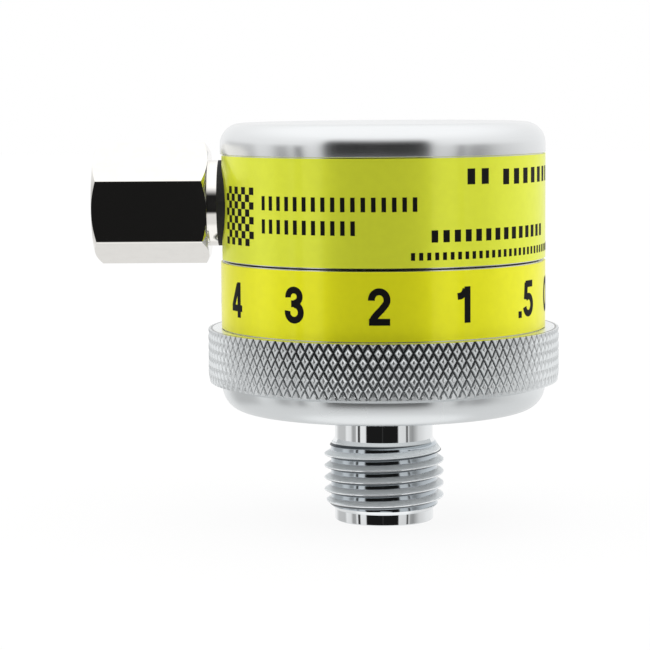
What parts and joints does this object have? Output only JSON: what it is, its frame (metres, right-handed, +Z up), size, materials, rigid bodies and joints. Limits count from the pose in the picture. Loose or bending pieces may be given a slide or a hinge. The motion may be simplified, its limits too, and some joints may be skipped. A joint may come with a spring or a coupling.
{
  "type": "oxygen flowmeter",
  "caption": "Round dial flowmeter for oxygen: fixed metal case with a side hex inlet, a knurled dial that turns to set the flow, and a threaded outlet stem below.",
  "frame": {"origin": "on the dial's axis, at the outlet's lower end", "axes": "+Z up along the dial's axis, from the outlet to the cap; -X out of the inlet; the reference picture looks along +Y"},
  "size_m": [0.0542, 0.0412, 0.047],
  "materials": {
    "case_metal": "clear anodised, finely turned",
    "dial_metal": "clear anodised, diamond knurl",
    "case_label": "printed film",
    "dial_label": "printed film with black numerals",
    "chromed_brass": "bright chrome",
    "nickel": "bright nickel",
    "black_rubber": "matte",
    "steel": "bright",
    "spring_steel": "drawn wire",
    "bronze": "sintered",
    "white_plastic": "matte"
  },
  "bodies": {
    "case": {"housing": "case_metal", "housing_label": "case_label", "outlet_stem": "chromed_brass", "inlet_adapter": "nickel", "inlet_washer": "black_rubber", "inlet_filter": "bronze", "port_seat": "white_plastic", "seat_o_ring": "black_rubber", "seat_spring": "spring_steel", "spigot_o_ring": "black_rubber", "hub_o_ring": "black_rubber", "detent_spring_front": "spring_steel", "detent_spring_rear": "spring_steel"},
    "dial": {"dial": "dial_metal", "dial_label": "dial_label", "orifice_plate": "steel", "plate_pins": "steel", "plate_ring": "spring_steel", "thrust_washer": "white_plastic"},
    "ball_front": {"detent_ball_front": "steel"},
    "ball_rear": {"detent_ball_rear": "steel"}
  },
  "joints": [
    {"name": "dial_turn", "type": "hinge", "parent": "case", "child": "dial", "pos_m": [0, 0, 0.0173], "axis": [0, 0, 1], "continuous": true},
    {"name": "ball_front_lift", "type": "slide", "parent": "case", "child": "ball_front", "axis": [0, 0, 1], "range_m": [0, 0.0003], "stiffness_N_per_m": 1000, "springref_m": -0.002, "deforming": ["detent_spring_front"]},
    {"name": "ball_rear_lift", "type": "slide", "parent": "case", "child": "ball_rear", "axis": [0, 0, 1], "range_m": [0, 0.0003], "stiffness_N_per_m": 1000, "springref_m": -0.002, "deforming": ["detent_spring_rear"]}
  ]
}
